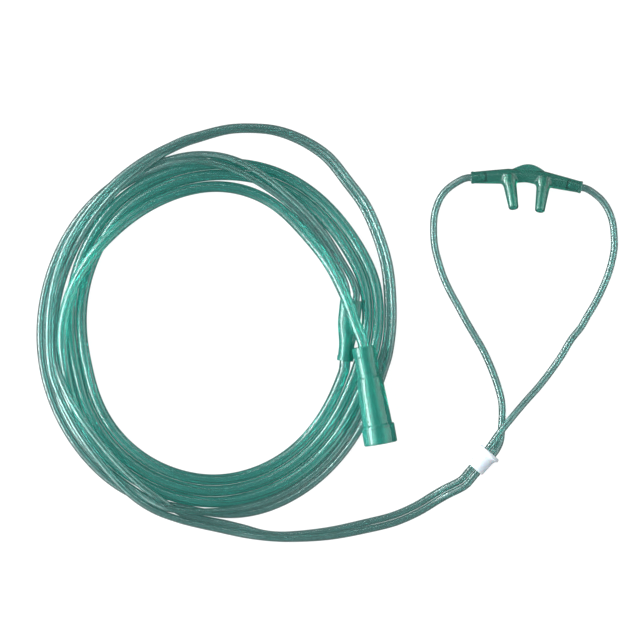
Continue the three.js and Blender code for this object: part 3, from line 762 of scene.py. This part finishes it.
def makeNasalPiece():
    n = nasalPiece
    length = n["leftLength"] + n["rightLength"]
    middle = n["leftLength"] + n["prongShift"]
    half = n["prongSpacing"] / 2
    keys = [(n["rimLength"], n["endWidth"]), ((middle - half) / 2, (n["endWidth"] + n["prongWidth"]) / 2),
            (middle - half, n["prongWidth"]), (middle, n["middleWidth"]), (middle + half, n["prongWidth"]),
            ((length + middle + half) / 2, (n["endWidth"] + n["prongWidth"]) / 2),
            (length - n["rimLength"], n["endWidth"])]
    rim = n["endWidth"] / 2 + n["rimHeight"]
    profile = [(0, 0), (rim - 0.2, 0), (rim, 0.2), (rim, n["rimLength"] - 0.2)]
    for z in np.linspace(n["rimLength"], length - n["rimLength"], 50):
        profile.append((float(np.interp(z, [k[0] for k in keys], [k[1] / 2 for k in keys])), float(z)))
    profile += [(rim, length - n["rimLength"] + 0.2), (rim, length - 0.2), (rim - 0.2, length), (0, length)]
    bar = spunBody(profile, 48)
    ontoBar(bar, n["thicknessShare"])
    bmesh.ops.recalc_face_normals(bar, faces=bar.faces)

    def prongMatrix(side):
        root = barPoint(middle + side * half, 0, 0)
        heading = math.radians(-90 - side * n["prongToeIn"])
        rise = math.radians(n["prongRise"])
        way = Vector((math.cos(heading) * math.cos(rise), math.sin(heading) * math.cos(rise), math.sin(rise)))
        return Matrix.Translation(root) @ Vector((0, 0, 1)).rotation_difference(way).to_matrix().to_4x4()

    root, tip, reach = n["prongRoot"] / 2, n["prongTip"] / 2, n["prongReach"]
    parts = []
    for side in (-1, 1):
        outline = [(0, 0), (root + n["prongFlare"], 0)]
        for share in (0, 0.25, 0.5, 0.75, 1):
            height = n["prongFilletStart"] + share * n["prongFilletLength"]
            outline.append((root + n["prongFlare"] * (1 - share) ** 2, height))
        outline += [(tip + 0.05, reach - 0.5), (tip - 0.05, reach - 0.12), (tip - 0.3, reach), (0, reach)]
        prong = spunBody(outline, 40)
        bmesh.ops.transform(prong, matrix=prongMatrix(side), verts=prong.verts)
        parts.append(prong)
    rounded = []
    for k in range(41):
        across = k / 20 - 1
        height = n["tabReach"] * (0.5 + 0.5 * math.cos(math.pi * across))
        rounded.append((across * n["tabWidth"] / 2, height, 0))
    rounded += [(across * n["tabWidth"] / 2, -n["tabRoot"], 0) for across in (1, -1)]
    tab = raised(rounded, n["tabThickness"])
    thickness = n["prongWidth"] * n["thicknessShare"]
    tilt = math.radians((n["leftTilt"] - n["rightTilt"]) / 2)
    tabMiddle = barPoint(n["leftLength"], 0, n["tabHeight"] - thickness / 2)
    place = Matrix.Translation(tabMiddle) @ Matrix.Rotation(tilt, 4, "Z")
    bmesh.ops.transform(tab, matrix=place, verts=tab.verts)
    parts.append(tab)

    # one soft moulded skin: even faces, smoothed where the forms meet
    skin = scratch(cutBy(bar, parts, "UNION"))
    remesh = skin.modifiers.new("remesh", "REMESH")
    remesh.mode = "VOXEL"
    remesh.voxel_size = n["skinGrain"]
    bm = finished(skin)
    for _ in range(n["skinRounds"]):
        bmesh.ops.smooth_vert(bm, verts=bm.verts, factor=0.5, use_axis_x=True, use_axis_y=True, use_axis_z=True)

    socket, channel, depth = n["socketBore"] / 2, n["channelBore"] / 2, n["socketDepth"]
    outline = [(0, -1), (socket, -1), (socket, depth)]
    outline += [(channel, float(z)) for z in np.linspace(depth, length - depth, 30)]
    outline += [(socket, length - depth), (socket, length + 1), (0, length + 1)]
    bore = spunBody(outline, 32)
    # past the bar's ends the channel runs straight on
    ways = (barPoint(1, 0, 0) - barPoint(0, 0, 0), barPoint(length, 0, 0) - barPoint(length - 1, 0, 0))
    for vertex in bore.verts:
        x, y, z = vertex.co
        inBar = min(max(z, 0), length)
        vertex.co = barPoint(inBar, y, x) + ways[z > length] * (z - inBar)
    bmesh.ops.recalc_face_normals(bore, faces=bore.faces)
    bores = [bore]
    for side in (-1, 1):
        prongBore = rod(n["prongBore"] / 2, 0, reach + 1)
        bmesh.ops.transform(prongBore, matrix=prongMatrix(side), verts=prongBore.verts)
        bores.append(prongBore)
    bm = cutBy(bm, bores)
    bmesh.ops.translate(bm, vec=(*n["place"], thickness / 2), verts=bm.verts)
    return pieceOf("nasalPiece", bm, 50)


supplyPiece = makeSupplyConnector()
yPiece = makeYConnector()
sliderPiece = makeSlider()
nasalShape = makeNasalPiece()
print("rigid pieces made")


# Materials
def newMaterial(name):
    material = bpy.data.materials.new(name)
    material.use_nodes = True
    nodes, links = material.node_tree.nodes, material.node_tree.links
    shader = nodes["Principled BSDF"]
    return material, nodes, links, shader, nodes["Material Output"]


def mixTints(nodes, links, shader, look, share):
    tint = nodes.new("ShaderNodeMix")
    tint.data_type = "RGBA"
    tint.inputs["A"].default_value = (*look["tint"], 1)
    tint.inputs["B"].default_value = (*look["otherTint"], 1)
    links.new(share, tint.inputs["Factor"])
    links.new(tint.outputs["Result"], shader.inputs["Base Color"])


def addRelief(nodes, links, shader, look, height):
    bump = nodes.new("ShaderNodeBump")
    bump.inputs["Strength"].default_value = look["reliefDepth"]
    bump.inputs["Distance"].default_value = 0.1 * mm
    links.new(height, bump.inputs["Height"])
    links.new(bump.outputs["Normal"], shader.inputs["Normal"])


def clearPlastic(name, look, pattern="Object"):
    # tinted clear plastic: two near tints in slow patches, a little haze, fine relief, and depth colour inside
    material, nodes, links, shader, output = newMaterial(name)
    place = nodes.new("ShaderNodeTexCoord")

    def noise(scale, detail):
        mapping = nodes.new("ShaderNodeMapping")
        mapping.inputs["Scale"].default_value = scale
        links.new(place.outputs[pattern], mapping.inputs["Vector"])
        node = nodes.new("ShaderNodeTexNoise")
        node.inputs["Scale"].default_value = 1
        node.inputs["Detail"].default_value = detail
        links.new(mapping.outputs["Vector"], node.inputs["Vector"])
        return node

    patches = noise(look["patches"], 3)
    mixTints(nodes, links, shader, look, patches.outputs["Fac"])
    haze = nodes.new("ShaderNodeMapRange")
    haze.inputs["From Min"].default_value = 0.3
    haze.inputs["From Max"].default_value = 0.7
    haze.inputs["To Min"].default_value = look["roughness"][0]
    haze.inputs["To Max"].default_value = look["roughness"][1]
    links.new(patches.outputs["Fac"], haze.inputs["Value"])
    links.new(haze.outputs["Result"], shader.inputs["Roughness"])
    addRelief(nodes, links, shader, look, noise(look["relief"], 2).outputs["Fac"])
    shader.inputs["Transmission Weight"].default_value = look["clear"]
    shader.inputs["IOR"].default_value = look["ior"]
    volume = nodes.new("ShaderNodeVolumeAbsorption")
    volume.inputs["Color"].default_value = (*look["depthColour"], 1)
    volume.inputs["Density"].default_value = look["depthDensity"]
    links.new(volume.outputs["Volume"], output.inputs["Volume"])
    return material


looks = {
    # on the tubes the patterns go round the tube and along it, and the relief is fine lines along it
    "mainTube": {
        "tint": (0.42, 0.90, 0.85), "otherTint": (0.32, 0.85, 0.78), "patches": (3, 30, 1), "roughness": (0.03, 0.08),
        "relief": (14, 1.5, 1), "reliefDepth": 0.12, "clear": 0.97, "ior": 1.5, "depthColour": (0.0, 0.76, 0.68),
        "depthDensity": 240,
    },
    "thinTube": {
        "tint": (0.60, 0.85, 0.83), "otherTint": (0.52, 0.82, 0.79), "patches": (3, 30, 1), "roughness": (0.03, 0.08),
        "relief": (12, 1.5, 1), "reliefDepth": 0.1, "clear": 0.97, "ior": 1.5, "depthColour": (0.1, 0.7, 0.64),
        "depthDensity": 240,
    },
    "fitting": {
        "tint": (0.10, 0.60, 0.52), "otherTint": (0.08, 0.54, 0.46), "patches": (120, 120, 120),
        "roughness": (0.06, 0.12), "relief": (500, 500, 500), "reliefDepth": 0.02, "clear": 0.86, "ior": 1.45,
        "depthColour": (0.0, 0.84, 0.76), "depthDensity": 200,
    },
    "nasalPiece": {
        "tint": (0.24, 0.82, 0.71), "otherTint": (0.20, 0.76, 0.64), "patches": (140, 140, 140),
        "roughness": (0.12, 0.2), "relief": (420, 420, 420), "reliefDepth": 0.04, "clear": 0.95, "ior": 1.48,
        "depthColour": (0.0, 0.60, 0.50), "depthDensity": 260,
    },
    "slider": {
        "tint": (0.50, 0.57, 0.62), "otherTint": (0.45, 0.52, 0.57), "patches": 260, "roughness": 0.42,
        "reliefDepth": 0.1, "inside": 0.25, "insideReach": 2.0,
    },
}


def palePlastic(name, look):
    material, nodes, links, shader, _ = newMaterial(name)
    place = nodes.new("ShaderNodeTexCoord")
    cloud = nodes.new("ShaderNodeTexNoise")
    cloud.inputs["Scale"].default_value = look["patches"]
    cloud.inputs["Detail"].default_value = 4
    links.new(place.outputs["Object"], cloud.inputs["Vector"])
    mixTints(nodes, links, shader, look, cloud.outputs["Fac"])
    addRelief(nodes, links, shader, look, cloud.outputs["Fac"])
    shader.inputs["Roughness"].default_value = look["roughness"]
    shader.inputs["Subsurface Weight"].default_value = look["inside"]
    shader.inputs["Subsurface Scale"].default_value = look["insideReach"] * mm
    return material


mainMaterial = clearPlastic("mainTubeVinyl", looks["mainTube"], "UV")
thinMaterial = clearPlastic("thinTubeVinyl", looks["thinTube"], "UV")
fittingMaterial = clearPlastic("fittingPlastic", looks["fitting"])
nasalMaterial = clearPlastic("nasalVinyl", looks["nasalPiece"])
sliderMaterial = palePlastic("sliderPlastic", looks["slider"])
for piece, material in (
    (mainTube, mainMaterial), (leftTube, thinMaterial), (rightTube, thinMaterial), (supplyPiece, fittingMaterial),
    (yPiece, fittingMaterial), (nasalShape, nasalMaterial), (sliderPiece, sliderMaterial),
):
    piece.data.materials.append(material)
print("materials made")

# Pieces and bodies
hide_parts("thin_tube_left", "thin_tube_left_loop", "thin_tube_left_end")
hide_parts("thin_tube_right", "thin_tube_right_loop", "thin_tube_right_end")
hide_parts("coil", "main_tube_start", "main_tube_end")
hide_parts("supply_connector")
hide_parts("y_connector")
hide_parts("slider")
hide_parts("nasal_piece")
for piece, slot in (
    (leftTube, "thin_tube"), (rightTube, "thin_tube"), (mainTube, "main_tube"), (supplyPiece, "fitting_green"),
    (yPiece, "fitting_green"), (nasalShape, "nasal_green"), (sliderPiece, "slider_white"),
):
    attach(piece, "slider" if piece == sliderPiece else "root")


# Floor, light and world
studio = {
    "floorSeen": 0.93,  # what the camera sees of the floor by itself
    "floorShaded": 0.12,  # and from the lamps, so that a faint shadow shows
    "floorThrough": 0.17,  # what shows through the clear plastic
    "floorHeight": -0.2,
    # both lamps look at the middle of the view; places and sizes are in metres
    "keyPower": 13.0,
    "keyPlace": (-0.75, 0.05, 0.42),
    "keySize": (1.1, 0.3),
    "stripPower": 2.0,
    "stripPlace": (0, 0.65, 0.8),
    "stripSize": (1.6, 0.1),
    "worldLit": 0.06,  # overhead
    "worldLeft": 4.6,  # towards the left and the right, at most
    "worldRight": 2.4,
}


def emission(nodes, brightness, tint=(1, 1, 1)):
    node = nodes.new("ShaderNodeEmission")
    node.inputs["Color"].default_value = (*tint, 1)
    node.inputs["Strength"].default_value = brightness
    return node


def makeFloor():
    bm = bmesh.new()
    bmesh.ops.create_grid(bm, x_segments=1, y_segments=1, size=3)
    mesh = bpy.data.meshes.new("floor")
    bm.to_mesh(mesh)
    bm.free()
    floor = bpy.data.objects.new("floor", mesh)
    floor.location = (viewMiddle.x, viewMiddle.y, studio["floorHeight"] * mm)
    scene.collection.objects.link(floor)
    material, nodes, links, shader, output = newMaterial("paleFloor")
    shader.inputs["Base Color"].default_value = (studio["floorShaded"],) * 3 + (1,)
    shader.inputs["Specular IOR Level"].default_value = 0
    seen = emission(nodes, studio["floorSeen"])
    through = emission(nodes, studio["floorThrough"], (0.95, 1, 1))
    both = nodes.new("ShaderNodeAddShader")
    links.new(shader.outputs["BSDF"], both.inputs[0])
    links.new(seen.outputs["Emission"], both.inputs[1])
    path = nodes.new("ShaderNodeLightPath")
    mix = nodes.new("ShaderNodeMixShader")
    links.new(path.outputs["Is Camera Ray"], mix.inputs["Fac"])
    links.new(through.outputs["Emission"], mix.inputs[1])
    links.new(both.outputs["Shader"], mix.inputs[2])
    links.new(mix.outputs["Shader"], output.inputs["Surface"])
    mesh.materials.append(material)


def makeLight(name):
    data = bpy.data.lights.new(name + "Light", "AREA")
    data.shape = "RECTANGLE"
    data.size, data.size_y = studio[name + "Size"]
    data.energy = studio[name + "Power"]
    light = bpy.data.objects.new(name + "Light", data)
    scene.collection.objects.link(light)
    away = Vector(studio[name + "Place"])
    light.location = viewMiddle + away
    light.rotation_mode = "QUATERNION"
    light.rotation_quaternion = (-away).to_track_quat("-Z", "Y")
    light.visible_camera = False


def makeStudio():
    makeLight("key")
    makeLight("strip")
    world = bpy.data.worlds.new("studioWorld")
    scene.world = world
    world.use_nodes = True
    nodes, links = world.node_tree.nodes, world.node_tree.links
    seen = nodes["Background"]
    seen.inputs["Color"].default_value = (1, 1, 1, 1)
    lit = nodes.new("ShaderNodeBackground")
    lit.inputs["Color"].default_value = (1, 1, 1, 1)
    direction = nodes.new("ShaderNodeTexCoord")
    parts = nodes.new("ShaderNodeSeparateXYZ")
    links.new(direction.outputs["Generated"], parts.inputs["Vector"])

    def glow(low, high, brightness):
        # from nothing at one lean towards X to the full brightness at the other
        node = nodes.new("ShaderNodeMapRange")
        node.interpolation_type = "SMOOTHSTEP"
        node.inputs["From Min"].default_value = low
        node.inputs["From Max"].default_value = high
        node.inputs["To Min"].default_value = 0
        node.inputs["To Max"].default_value = brightness
        links.new(parts.outputs["X"], node.inputs["Value"])
        return node.outputs["Result"]

    def total(first, second):
        node = nodes.new("ShaderNodeMath")
        links.new(first, node.inputs[0])
        if isinstance(second, float):
            node.inputs[1].default_value = second
        else:
            links.new(second, node.inputs[1])
        return node.outputs["Value"]

    sides = total(glow(-0.15, -0.85, studio["worldLeft"]), glow(0.2, 0.9, studio["worldRight"]))
    links.new(total(sides, studio["worldLit"]), lit.inputs["Strength"])
    path = nodes.new("ShaderNodeLightPath")
    mix = nodes.new("ShaderNodeMixShader")
    links.new(path.outputs["Is Camera Ray"], mix.inputs["Fac"])
    links.new(lit.outputs["Background"], mix.inputs[1])
    links.new(seen.outputs["Background"], mix.inputs[2])
    links.new(mix.outputs["Shader"], nodes["World Output"].inputs["Surface"])
    scene.view_settings.view_transform = "Standard"


makeFloor()
makeStudio()
print("floor and lights placed")
